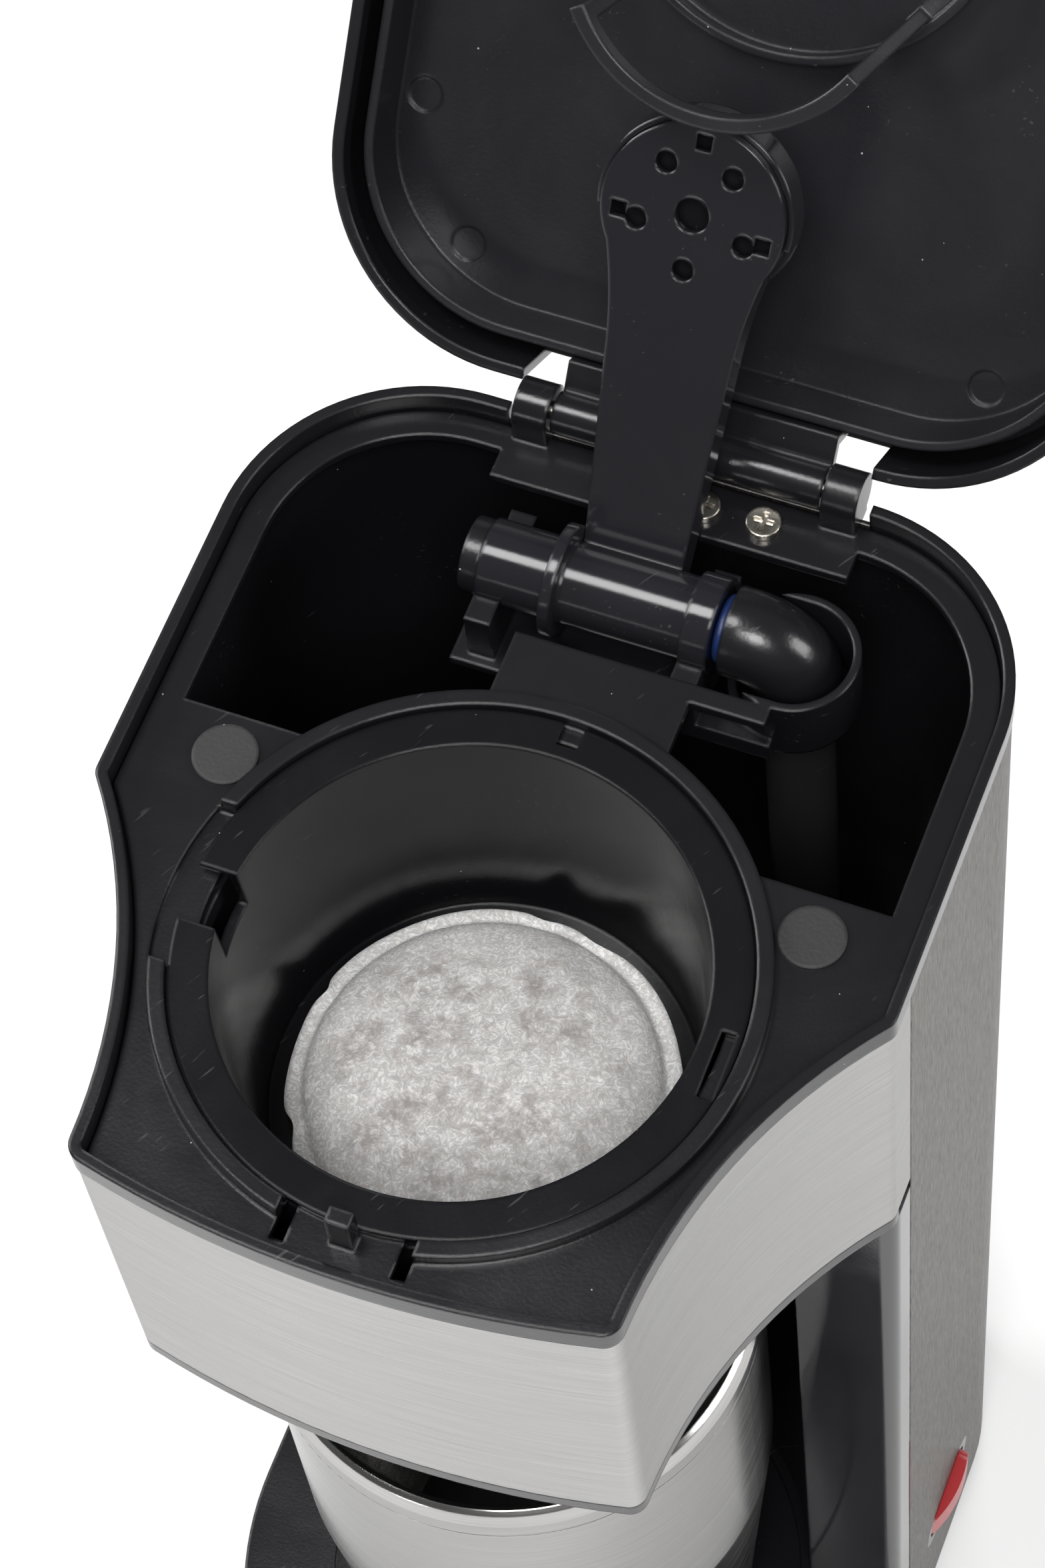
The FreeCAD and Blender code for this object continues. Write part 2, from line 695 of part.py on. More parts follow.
def make_top():
    """Rim frame, deck tray, plugs and the screws at the hinge."""
    ridge = extrude(brewer_outline(0.0) + brewer_outline(S.rim_ridge), "rim_top-rim_side", "rim_side")
    seat = "rim_top-rim_depth"
    neck = extrude(brewer_outline(skin_back()) + brewer_outline(S.rim_ridge), seat, "rim_depth")
    shelf_height = "rim_depth-deck_drop-deck_plate"
    shelf = extrude(brewer_outline(skin_back()) + brewer_outline(S.rim_shelf), seat, shelf_height)
    hinge_room = span(
        "shelf_left-deck_gap", "shelf_right+deck_gap", "hinge_y-ear_radius", BIG,
        "rim_top-deck_drop-deck_plate", "rim_top+1",
    )
    keep("top_rim", cut(fuse(ridge, neck, shelf), hinge_room))

    low = "rim_top-deck_drop-deck_plate"
    edge = S.rim_ridge + S.deck_gap
    ledge = extrude(brewer_outline(edge) + brewer_outline(S.ledge_inset), low, "deck_plate")
    front = common(extrude(brewer_outline(edge), low, "deck_plate"), ahead("tab_rear"))
    seat = rod("0", "0", low, "ring_outer", "deck_plate")
    ring = cut(
        rod("0", "0", low, "ring_outer", "deck_plate+ring_rise"),
        rod("0", "0", low, "ring_inner", "deck_plate+ring_rise*2"),
    )
    bridge = span("0-bridge_left", "bridge_right", "well_radius", "trough_front", low, low + "+deck_plate")
    rear = common(
        span("shelf_left", "shelf_right", "shelf_front", "tower_rear", low, low + "+deck_plate"),
        extrude(brewer_outline(edge), low, "deck_plate"),
    )
    trough_z = "rim_top-trough_depth"
    pipe_z = "rim_top-arm_drop"
    wall = span(
        "0-bridge_left", "bridge_right", "trough_front-shell_wall", "trough_front",
        trough_z, low + "+deck_plate",
    )
    trough = span(
        "trough_left", "collar_right", "trough_front-shell_wall", "trough_rear",
        trough_z, trough_z + "+shell_wall",
    )
    saddles = [
        span(x, x + "+saddle_wall-hinge_gap", "trough_front", "trough_rear", trough_z, pipe_z)
        for x in ("tube_left", "collar_left")
    ]
    tube_start, tube_length = "trough_left-saddle_wall", "collar_left-trough_left"
    tube_room = fuse(
        rod(tube_start, "arm_y", pipe_z, "tube_radius+run_gap", tube_length, "x"),
        rod("collar_left-run_gap", "arm_y", pipe_z, "collar_radius+run_gap", "riser_x-collar_left", "x"),
    )
    cradle = cut(
        rod("riser_x", "cradle_y", trough_z, "cradle_radius+cradle_wall", "trough_depth-deck_drop"),
        rod("riser_x", "cradle_y", trough_z + "-1", "cradle_radius", "trough_depth*2"),
        span(
            "pipe_left-cradle_radius", "riser_x", "cradle_y-cradle_radius", "cradle_y+cradle_radius",
            pipe_z + "-pipe_radius-hinge_gap", "rim_top",
        ),
    )
    cradle_foot = span(
        "collar_left-saddle_wall", "riser_x", "trough_front-shell_wall", "cradle_y-cradle_radius",
        trough_z, trough_z + "+shell_wall*2",
    )
    deck_top = "rim_top-deck_drop"
    wing = span("bridge_right", "riser_x", "trough_front-wing_depth", "trough_front", low, deck_top)
    hook = span("0-hook_half", "hook_half", "0-ring_outer", "0-ring_inner", low, "rim_top+hook_rise")
    hinge_z = "rim_top+hinge_rise"
    ears = []
    for side in ("hinge_x-ear_span-ear_wall/2", "hinge_x+ear_span-ear_wall/2"):
        ears.append(rod(side, "hinge_y", hinge_z, "ear_radius", "ear_wall", "x"))
        stem = span(
            side, side + "+ear_wall", "hinge_y-ear_radius", "hinge_y+rod_radius",
            low + "+deck_plate/2", hinge_z,
        )
        ears.append(stem)
    rod_hole = rod("hinge_x-ear_span", "hinge_y", hinge_z, "rod_radius", "ear_span*2", "x")
    well_hole = rod("0", "0", low + "-1", "well_radius", "deck_plate+2")
    screw_holes = [
        rod(x, "deck_screw_y", low + "-1", "screw_radius", "deck_plate+2") for x in screw_columns()
    ]
    finger_room = common(
        rod("0", "0", deck_top + "-finger_depth", "ring_outer+deck_gap", "finger_depth+ring_rise*2"),
        span(
            "0-ring_outer*2", "0-finger_inner", "0-finger_half", "finger_half",
            deck_top + "-finger_depth", deck_top + "+ring_rise*2",
        ),
    )
    catch_room = span(
        "0-catch_half", "catch_half", "0-ring_outer-ring_rise", "0-well_radius",
        deck_top, deck_top + "+ring_rise*2",
    )
    catch_slots = [
        span(x, x + "+catch_slot", "0-catch_slot_front", "0-catch_slot_rear", low + "-1", deck_top + "+1")
        for x in ("0-catch_half", "catch_half-catch_slot")
    ]
    tray = cut(fuse(ledge, front, seat, ring), finger_room, catch_room, *catch_slots)
    mounts = fuse(tray, hook, bridge, wing, rear, wall, trough, cradle_foot, *(saddles + ears))
    solid = cut(mounts, well_hole, tube_room, rod_hole, *screw_holes)
    keep("deck", fuse(solid, cradle))

    plugs = [rod(x, "plug_y", deck_top, "plug_radius", "plug_height") for x in ("0-plug_x", "0+plug_x")]
    keep("deck_plugs", compound(plugs))
    keep("deck_screws", compound([cross_screw(x) for x in screw_columns()]))
    keep("hinge_rod", rod("hinge_x-ear_span", "hinge_y", hinge_z, "rod_radius", "ear_span*2", "x"))


def screw_columns():
    """Formulas of the two hinge screws' places along X."""
    return ("deck_screw_x", "deck_screw_x+deck_screw_pitch")


def cross_screw(x):
    """Pan-head screw in the deck, with a cross recess in its head."""
    seat = "rim_top-deck_drop"
    head = rod(x, "deck_screw_y", seat, "screw_head", "screw_radius")
    shank = rod(x, "deck_screw_y", seat + "-deck_plate", "screw_radius", "deck_plate*1.5")
    floor = seat + "+screw_radius-cross_depth"
    slots = [
        box(
            "%s-(%s)/2" % (x, length), "deck_screw_y-(%s)/2" % width, floor, length, width, "cross_depth*2",
        )
        for length, width in (("cross_length", "cross_width"), ("cross_width", "cross_length"))
    ]
    return cut(fuse(head, shank), *slots)


# Water pipe


def make_pipe():
    """Fixed elbow with its seal, and the riser from the heater."""
    pipe_z = "rim_top-arm_drop"
    spigot_length = "pipe_left-collar_left+plug_reach"
    spigot = rod("collar_left-plug_reach", "arm_y", pipe_z, "tube_bore-run_gap", spigot_length, "x")
    run = rod("pipe_left", "arm_y", pipe_z, "pipe_radius", "riser_x-bend_radius-pipe_left", "x")
    curve = bend(
        "riser_x-bend_radius", "arm_y", pipe_z + "-bend_radius", "bend_radius", "pipe_radius",
        Rotation(Vector(1, 0, 0), 90),
    )
    drop = rod("riser_x", "arm_y", "rim_top-trough_depth", "pipe_radius", "trough_depth-arm_drop-bend_radius")
    keep("elbow", fuse(spigot, run, curve, drop))
    seal = bend(
        "collar_right+run_gap+oring_minor", "arm_y", pipe_z, "tube_bore-run_gap+oring_minor", "oring_minor",
        Rotation(Vector(0, 1, 0), 90), 360,
    )
    keep("elbow_oring", seal)
    riser_length = "rim_top-trough_depth-heater_z-hose_bend"
    keep("riser_tube", rod("riser_x", "arm_y", "heater_z+hose_bend", "riser_radius", riser_length))


# Moving arm


def arm_outline():
    """Plan of the closed arm about its own middle line: straight neck, flared into the round head."""
    root, neck, y_neck = S.arm_root_half, S.arm_neck_half, S.arm_neck_y
    y_root = S.arm_y + S.tube_radius / 2
    head = S.spray_radius
    y_head = S.arm_y - S.arm_reach
    touch = (head * math.cos(math.pi / 6), y_head + head * math.sin(math.pi / 6))
    flare = ((neck + touch[0]) / 2 - (touch[0] - neck) / 5, (y_neck + touch[1]) / 2)
    shift = S.arm_x

    def right(point):
        return (shift + point[0], point[1])

    def left(point):
        return (shift - point[0], point[1])

    return [
        line(left((root, y_root)), right((root, y_root))),
        line(right((root, y_root)), right((neck, y_neck))),
        arc(right((neck, y_neck)), right(flare), right(touch)),
        arc(right(touch), right((0.0, y_head - head)), left(touch)),
        arc(left(touch), left(flare), left((neck, y_neck))),
        line(left((neck, y_neck)), left((root, y_root))),
    ]


def make_arm():
    """Swinging arm with its pivot tube, the snap-on head cap and the end plug."""
    pipe_z = "rim_top-arm_drop"
    under = "rim_top-arm_drop+arm_under"
    head_y = "arm_y-arm_reach"
    plate = extrude(arm_outline(), under, "arm_thick")
    tube = rod("tube_left", "arm_y", pipe_z, "tube_radius", "collar_right-tube_left", "x")
    collar = rod("collar_left", "arm_y", pipe_z, "collar_radius", "collar_right-collar_left", "x")
    flange = rod("flange_x", "arm_y", pipe_z, "flange_radius", "flange_wall", "x")
    bore = rod("tube_left-1", "arm_y", pipe_z, "tube_bore", "collar_right-tube_left+2", "x")
    chamber = rod("arm_x", head_y, under + "+arm_wall", "spray_radius-arm_wall", "arm_thick")
    channel = span(
        "arm_x-arm_root_half+arm_wall", "arm_x+arm_root_half-arm_wall", head_y, "arm_y",
        under + "+arm_wall", under + "+arm_thick-arm_wall",
    )
    holes = [rod("arm_x", head_y, under + "-1", "hole_centre", "arm_wall+2")]
    for angle in range(36, 360, 72):
        turn = math.radians(angle - 90)
        x = "arm_x+hole_ring*%.6f" % math.cos(turn)
        y = head_y + "+hole_ring*%.6f" % math.sin(turn)
        holes.append(rod(x, y, under + "-1", "hole_small", "arm_wall+2"))
    for angle in (0, 100, 260):
        turn = math.radians(angle - 90)
        x = "arm_x+latch_ring*%.6f-latch_size/2" % math.cos(turn)
        y = head_y + "+latch_ring*%.6f-latch_size/2" % math.sin(turn)
        holes.append(box(x, y, under + "-1", "latch_size", "latch_size", "arm_wall+2"))
    keep("spray_arm", cut(fuse(plate, tube, collar, flange), bore, chamber, channel, *holes))

    top = under + "+arm_thick+cap_gap"
    cap_radius = "spray_radius+cap_gap+cap_wall"
    lid = rod("arm_x", head_y, top, cap_radius, "cap_wall")
    skirt = cut(
        rod("arm_x", head_y, under + "+arm_wall", cap_radius, "arm_thick+cap_gap-arm_wall"),
        rod("arm_x", head_y, under, "spray_radius+cap_gap", "arm_thick*2"),
    )
    keep("spray_cap", fuse(lid, common(skirt, ahead(head_y + "+latch_size"))))
    keep(
        "arm_plug",
        fuse(
            rod("tube_left-plug_cap", "arm_y", pipe_z, "tube_radius-run_gap*10", "plug_cap", "x"),
            rod("tube_left-plug_cap", "arm_y", pipe_z, "tube_bore-run_gap", "plug_cap+plug_reach", "x"),
        ),
    )
    swing(("spray_arm", "spray_cap", "arm_plug"), S.arm_open_angle, (0.0, S.arm_y, S.rim_top - S.arm_drop))


def swing(labels, angle, centre):
    """Turns closed pieces open about a line along X."""
    for label in labels:
        PIECES[label].Placement = Placement(Vector(), Rotation(Vector(1, 0, 0), -angle), Vector(*centre))


# Lid


def make_lid():
    """Lid cover with its hinge barrel, inner tray and the loop that lifts the arm."""
    lip = "rim_top+lid_gap"
    top = "rim_top+lid_gap+lid_height"
    cover = extrude(brewer_outline(S.lid_inset, S.lid_rear), lip, "lid_height")
    rounded = DOC.addObject("Part::Fillet", "rounded")
    rounded.Base = cover
    DOC.recompute()
    height = S.rim_top + S.lid_gap + S.lid_height
    edges = []
    for number, edge in enumerate(cover.Shape.Edges, start=1):
        if edge.BoundBox.ZMin > height - S.lid_round:
            edges.append((number, S.lid_round, S.lid_round))
    rounded.Edges = edges
    inside = brewer_outline(S.lid_inset + S.lid_wall, S.lid_rear)
    hollow = extrude(inside, lip + "-1", "lid_height-lid_wall+1")
    barrel_left = "hinge_x-ear_span+ear_wall/2+hinge_gap"
    barrel_right = "hinge_x+ear_span-ear_wall/2-hinge_gap"
    hinge_z = "rim_top+hinge_rise"
    notch_y = "hinge_y-ear_radius-hinge_room"
    notch = span(
        "hinge_x-ear_span-ear_wall/2-hinge_gap", "hinge_x+ear_span+ear_wall/2+hinge_gap",
        notch_y, BIG, lip + "-1", top + "-lid_wall",
    )
    barrel = rod(barrel_left, "hinge_y", hinge_z, "barrel_radius", "ear_span*2-ear_wall-hinge_gap*2", "x")
    web = span(
        barrel_left, barrel_right, notch_y + "-lid_wall", "hinge_y",
        hinge_z + "+barrel_radius-lid_wall", hinge_z + "+barrel_radius",
    )
    post = span(
        barrel_left, barrel_right, notch_y + "-lid_wall", notch_y,
        hinge_z + "+barrel_radius-lid_wall", top + "-lid_wall/2",
    )
    bore = rod("hinge_x-tower_half", "hinge_y", hinge_z, "rod_radius+run_gap", "tower_half*2", "x")
    keep("lid_shell", cut(fuse(cut(rounded, hollow, notch), barrel, web, post), bore))

    panel_top = top + "-lid_wall"
    panel_low = panel_top + "-skirt_wall"
    post_front = S.hinge_y - S.ear_radius - S.hinge_room - S.lid_wall
    liner_rear = S.tower_rear - S.skirt_inset - (post_front - S.hinge_gap)
    skirt_outer = brewer_outline(S.skirt_inset, liner_rear)
    skirt_inner = brewer_outline(S.skirt_inset + S.skirt_wall, liner_rear)
    panel = extrude(skirt_outer, panel_low, "skirt_wall")
    skirt = extrude(skirt_outer + skirt_inner, lip + "+skirt_rise", "lid_height-lid_wall-skirt_rise")
    marks = [
        rod(sign + x, y, panel_low + "-1", "mark_radius", "mark_depth+1")
        for sign in ("0-", "0+") for x, y in (("mark_side_x", "mark_side_y"), ("mark_rear_x", "mark_rear_y"))
    ]
    keep("lid_liner", cut(fuse(panel, skirt), *marks))

    disc = cut(
        rod("0", "0", panel_low + "-boss_rise", "boss_disc", "boss_rise"),
        rod("0", "0", panel_low + "-boss_rise-1", "boss_disc-skirt_wall", "boss_rise-skirt_wall+1"),
    )
    keep("lid_stirrup", fuse(disc, stirrup_loop()))
    hinge = (0.0, S.hinge_y, S.rim_top + S.hinge_rise)
    swing(("lid_shell", "lid_liner", "lid_stirrup"), S.lid_open_angle, hinge)


def stirrup_loop():
    """Bar on an arc inside the basket, with an upright leg at each end."""
    outer = S.stirrup_radius + S.stirrup_wall / 2
    inner = S.stirrup_radius - S.stirrup_wall / 2
    half = math.radians(S.stirrup_angle)

    def on(radius, angle):
        return (S.stirrup_x + radius * math.sin(angle), S.stirrup_y + radius * math.cos(angle))

    band = [
        arc(on(outer, -half), on(outer, 0), on(outer, half)),
        line(on(outer, half), on(inner, half)),
        arc(on(inner, half), on(inner, 0), on(inner, -half)),
        line(on(inner, -half), on(outer, -half)),
    ]
    low = "rim_top+hinge_rise-stirrup_drop"
    bar = extrude(band, low, "stirrup_width")
    legs = []
    root = half - S.stirrup_width / S.stirrup_radius
    for sign in (-1, 1):
        leg = [
            arc(on(outer, sign * half), on(outer, sign * (half + root) / 2), on(outer, sign * root)),
            line(on(outer, sign * root), on(inner, sign * root)),
            arc(on(inner, sign * root), on(inner, sign * (half + root) / 2), on(inner, sign * half)),
            line(on(inner, sign * half), on(outer, sign * half)),
        ]
        top = "rim_top+lid_gap+lid_height-lid_wall-skirt_wall"
        legs.append(extrude(leg, low, top + "-(" + low + ")"))
    return fuse(bar, *legs)


# Brew basket and coffee pad


def make_basket():
    """Tapered basket that hangs by its flange, and the pad that lies in it."""
    top = S.rim_top - S.flange_top
    under = S.rim_top - S.deck_drop + S.seat_gap
    floor = S.rim_top - S.basket_floor
    wall = S.basket_wall
    spout = S.rim_top - S.spout_drop
    profile = [
        (S.spout_bore, spout),
        (S.spout_bore, floor - wall * 2),
        (S.spout_bore * 3, floor - wall / 2),
        (S.basket_floor_radius, floor),
        (S.basket_radius, top),
        (S.basket_flange, top),
        (S.basket_flange, under),
        (S.basket_radius + wall, under),
        (S.basket_floor_radius + wall, floor - wall),
        (S.basket_floor_radius, floor - wall * 2),
        (S.spout_radius + wall, floor - wall * 3),
        (S.spout_radius, spout),
    ]
    brim = "rim_top-flange_top"
    window = span(
        "0-basket_flange-1", "0-basket_floor_radius", "window_y-window_half", "window_y+window_half",
        "rim_top-window_depth", "rim_top",
    )
    notch = span(
        "0", "notch_width", "basket_flange-notch_depth", "basket_flange+1", brim + "-deck_drop", brim + "+1",
    )
    slot = span(
        "flange_slot_inner+basket_wall", "flange_slot_outer+basket_wall", "flange_slot_y-flange_slot_half",
        "flange_slot_y+flange_slot_half", brim + "-deck_drop", brim + "+1",
    )
    keep("brew_basket", cut(turned("basket", profile), window, notch, slot))

    low = floor + S.pad_gap
    rim = S.pad_radius
    crown = rim - S.pad_border
    pad = [
        (0.0, low),
        (crown - S.pad_border / 2, low),
        (crown, low + S.pad_height / 6),
        (rim, low + S.pad_height / 5),
        (rim, low + S.pad_height / 3.4),
        (crown, low + S.pad_height / 2.6),
        (crown * 0.72, low + S.pad_height * 0.8),
        (crown * 0.36, low + S.pad_height * 0.96),
        (0.0, low + S.pad_height),
    ]
    keep("filter_pad", turned("pad", pad))


# Tumbler


def make_tumbler():
    """Double-walled steel cup: outer wall, inner vessel with the rim, and a foot pad."""
    seat = S.base_top - S.cup_recess_depth + S.seat_gap
    wall = S.tumbler_wall
    foot = seat + S.tumbler_pad
    outer = S.tumbler_radius
    low = S.tumbler_foot_radius
    shell = [
        (0.0, foot),
        (low - wall, foot),
        (low, foot + wall),
        (outer, S.tumbler_shoulder),
        (outer, S.tumbler_seam),
        (outer - wall, S.tumbler_seam),
        (outer - wall, S.tumbler_shoulder),
        (low - wall, foot + wall * 2),
        (0.0, foot + wall),
    ]
    inside = outer - S.tumbler_jacket
    base_inside = low - S.tumbler_jacket
    floor = foot + S.tumbler_jacket
    lip = S.tumbler_top - S.tumbler_seam
    vessel = [
        (0.0, floor),
        (base_inside, floor),
        (inside, S.tumbler_shoulder),
        (inside, S.tumbler_seam - wall),
        (outer - wall, S.tumbler_seam),
        (outer, S.tumbler_seam),
        (outer, S.tumbler_seam + lip * 0.6),
        (outer - wall, S.tumbler_seam + lip * 0.92),
        (outer - wall * 2, S.tumbler_top),
        (outer - wall * 3, S.tumbler_seam + lip * 0.92),
        (inside - wall, S.tumbler_seam - wall),
        (inside - wall, S.tumbler_shoulder),
        (base_inside - wall, floor + wall * 2),
        (0.0, floor + wall),
    ]
    pad = [
        (low * 0.72, seat),
        (low - wall * 2, seat),
        (low - wall * 2, foot),
        (low * 0.72, foot),
    ]
    for label, points in (("tumbler_shell", shell), ("tumbler_liner", vessel), ("tumbler_foot", pad)):
        piece = keep(label, turned(label, points))
        piece.Placement = Placement(Vector(0, S.cup_y, 0), Rotation())


# Heater, hoses and electrics


def make_works():
    """Flow heater in the base with its hoses, valve, clamp and cut-outs, and the cord's bush."""
    middle = "(inlet_x+riser_x)/2"
    half = "(riser_x-inlet_x)/2"
    turn_back = Rotation(Vector(0, 0, 1), 180)
    curve = bend(middle, "heater_front", "heater_z", half, "heater_radius", turn_back, 180)
    legs = [
        rod(x, "heater_front", "heater_z", "heater_radius", "heater_rear-heater_front", "y")
        for x in ("inlet_x", "riser_x")
    ]
    keep("heater", fuse(curve, *legs))

    valve_end = "heater_rear+valve_length"
    keep("check_valve", rod("inlet_x", "heater_rear", "heater_z", "valve_radius", "valve_length", "y"))
    bend_y = "arm_y-hose_bend"
    turn_up = Rotation(Vector(0, 1, 0), 90)
    for label, x, start, top in (
        ("inlet_hose", "inlet_x", valve_end, "tank_floor-clip_width"),
        ("outlet_hose", "riser_x", "heater_rear", "heater_z+hose_bend"),
    ):
        run = rod(x, start, "heater_z", "hose_radius", bend_y + "-(" + start + ")", "y")
        corner = bend(x, bend_y, "heater_z+hose_bend", "hose_bend", "hose_radius", turn_up)
        pieces = [run, corner]
        if label == "inlet_hose":
            pieces.append(rod(x, "arm_y", "heater_z+hose_bend", "hose_radius", top + "-heater_z-hose_bend"))
        keep(label, fuse(*pieces))
    collar_radius = "hose_radius+clip_wall-run_gap"
    grommet = fuse(
        rod("inlet_x", "arm_y", "tank_floor-clip_width", collar_radius, "clip_width+floor_wall"),
        rod("inlet_x", "arm_y", "tank_floor+floor_wall", "hose_radius+clip_wall*2", "clip_wall"),
    )
    grommet_bore = rod("inlet_x", "arm_y", "tank_floor-clip_width-1", "hose_radius/2", "clip_width*4")
    keep("tank_grommet", cut(grommet, grommet_bore))
    clips = []
    for x, y in (("inlet_x", valve_end), ("riser_x", "heater_rear")):
        clips.append(
            cut(
                rod(x, y + "+clip_wall", "heater_z", "hose_radius+clip_wall", "clip_width", "y"),
                rod(x, y, "heater_z", "hose_radius+run_gap", "clip_width*2", "y"),
            )
        )
    keep("hose_clips", compound(clips))

    clamp_z = "heater_z+heater_radius+run_gap"
    clamp = span(
        "inlet_x-heater_radius", "riser_x+heater_radius", "heater_front", "heater_front+clamp_width",
        clamp_z, clamp_z + "+clamp_wall",
    )
    keep("heater_clamp", clamp)
    stat_z = clamp_z + "+clamp_wall"
    keep("thermostat", rod(middle, "heater_front+clamp_width/2", stat_z, "stat_radius", "stat_height"))
    fuse_y = "heater_front+clamp_width+clip_wall"
    fuse_z = "heater_z+heater_radius+fuse_radius+run_gap"
    keep("thermal_fuse", rod("riser_x", fuse_y, fuse_z, "fuse_radius", "fuse_length", "y"))
    gland_y = "tower_rear-skin_inset-skin_wall-skin_gap-base_wall"
    neck, collar = "gland_radius-run_gap", "gland_radius+clip_wall"
    neck_length = "tower_rear-skin_inset+clip_wall-(%s)" % gland_y
    gland = fuse(
        rod("gland_x", gland_y + "-clip_width", "gland_z", neck, "clip_width*2", "y"),
        rod("gland_x", "tower_rear-skin_inset+run_gap", "gland_z", collar, "clip_wall", "y"),
        rod("gland_x", gland_y, "gland_z", neck, neck_length, "y"),
        rod("gland_x", gland_y + "-clip_wall*2", "gland_z", collar, "clip_wall*2-run_gap", "y"),
    )
    bush_hole = rod("gland_x", gland_y + "-clip_width*2", "gland_z", "gland_radius*0.6", "clip_width*6", "y")
    keep("cord_gland", cut(gland, bush_hole))


# Switch


def make_switch():
    """Oval switch body with its rim, and the rocker that tilts in it about an upright pin."""
    outside = "tower_half-skin_inset"
    inner = outside + "-switch_depth"
    length, height = "switch_length-run_gap*2", "switch_height-run_gap*2"
    body = oval(inner, length, height, "switch_depth")
    pocket = oval(
        outside + "-pocket_depth", "switch_length-bezel_wall*2", "switch_height-bezel_wall*2",
        "pocket_depth*2",
    )
    pivot_x = outside + "-pocket_depth/2"
    pin_half = "switch_height/2-bezel_wall+pin_reach"
    hole_half = pin_half + "+rocker_gap"
    pin_hole = rod(
        pivot_x, "switch_y", "switch_z-(%s)" % hole_half, "pin_radius+run_gap", "(%s)*2" % hole_half,
    )
    keep("switch_housing", cut(body, pocket, pin_hole))
    rocker_length = "switch_length-bezel_wall*2-rocker_gap*2"
    rocker_height = "switch_height-bezel_wall*2-rocker_gap*2"
    slab = oval(
        outside + "-pocket_depth+rocker_gap*4", rocker_length, rocker_height,
        "pocket_depth-rocker_gap*4+rocker_rise",
    )
    crown = rod(
        outside + "+rocker_rise-switch_length", "switch_y", "switch_z-switch_height/2",
        "switch_length", "switch_height",
    )
    pin = rod(pivot_x, "switch_y", "switch_z-(%s)" % pin_half, "pin_radius", "(%s)*2" % pin_half)
    keep("switch_rocker", fuse(common(slab, crown), pin))
    pivot = Vector(S.tower_half - S.skin_inset - S.pocket_depth / 2, S.switch_y, S.switch_z)
    tilt = Rotation(Vector(0, 0, 1), -S.rocker_tilt_angle)
    PIECES["switch_rocker"].Placement = Placement(Vector(), tilt, pivot)


def check_and_write():
    """Stops on any failed object or bad solid, then writes one STEP file for each piece."""
    DOC.recompute()
    for thing in DOC.Objects:
        if "Invalid" in thing.State or "Error" in thing.State:
            raise RuntimeError("%s failed: %s" % (thing.Label, thing.State))
    for label, thing in PIECES.items():
        if thing.Shape.isNull() or not thing.Shape.isValid() or not thing.Shape.Solids:
            raise RuntimeError("%s has no valid solid" % label)
    os.makedirs("parts", exist_ok=True)
    for label, thing in PIECES.items():
        thing.Shape.exportStep(os.path.join("parts", label + ".step"))
        print("%-18s %d solids %10.1f mm3" % (label, len(thing.Shape.Solids), thing.Shape.Volume))


make_base()
make_tower()
make_top()
make_pipe()
make_arm()
make_lid()
make_basket()
make_tumbler()
make_works()
make_switch()
check_and_write()
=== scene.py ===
import json
import math

import bmesh
import bpy
import numpy as np
from mathutils import Matrix, Vector


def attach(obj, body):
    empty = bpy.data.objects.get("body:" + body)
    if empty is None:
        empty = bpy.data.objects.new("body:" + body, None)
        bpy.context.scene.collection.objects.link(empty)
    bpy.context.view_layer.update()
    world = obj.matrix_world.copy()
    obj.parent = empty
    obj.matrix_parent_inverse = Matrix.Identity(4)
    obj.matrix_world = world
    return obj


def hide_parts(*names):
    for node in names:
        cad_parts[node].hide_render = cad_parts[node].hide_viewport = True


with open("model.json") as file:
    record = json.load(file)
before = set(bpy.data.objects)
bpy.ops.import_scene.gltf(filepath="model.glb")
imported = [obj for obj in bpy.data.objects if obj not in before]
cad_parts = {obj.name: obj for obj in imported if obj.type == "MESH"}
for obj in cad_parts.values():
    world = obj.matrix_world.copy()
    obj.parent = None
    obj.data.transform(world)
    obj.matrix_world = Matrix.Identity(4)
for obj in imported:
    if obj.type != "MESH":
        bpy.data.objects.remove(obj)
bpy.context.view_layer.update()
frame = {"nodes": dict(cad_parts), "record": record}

# Camera: degrees, metres, and millimetres for lens and sensor
CAMERA_AZIMUTH = 29.066
CAMERA_ELEVATION = 61.507
CAMERA_ROLL = -8.913
CAMERA_TARGET = Vector((-0.0017, 0.03219, 0.336))
CAMERA_DISTANCE = 0.7194
CAMERA_LENS = 104.26
CAMERA_CLIP = 0.01
SENSOR = 36.0

# Stage: metres, watts and linear tones
FLOOR_SIZE = 14.0
FLOOR_TONE = 0.70
FLOOR_GLOW = 0.16
WORLD_TONE = 0.9
WORLD_STRENGTH = 0.13
LIGHTS = {
    "key": dict(place=(0.30, -0.65, 1.55), target=(0.0, 0.0, 0.28), size=0.5, power=15.0),
    "top": dict(place=(-0.38, -0.12, 1.75), target=(0.0, 0.03, 0.33), size=0.5, power=11.0),
    "front": dict(place=(-0.5, -2.0, 0.20), target=(0.0, 0.1, 0.40), size=0.4, power=5.0),
    "left": dict(place=(-1.25, 0.15, 0.95), target=(0.0, 0.0, 0.30), size=0.7, power=16.0),
    "right": dict(place=(1.25, 0.25, 0.95), target=(0.0, 0.0, 0.30), size=0.6, power=10.0),
    "back": dict(place=(-0.2, 1.5, 0.95), target=(0.0, 0.05, 0.33), size=0.6, power=9.0),
}

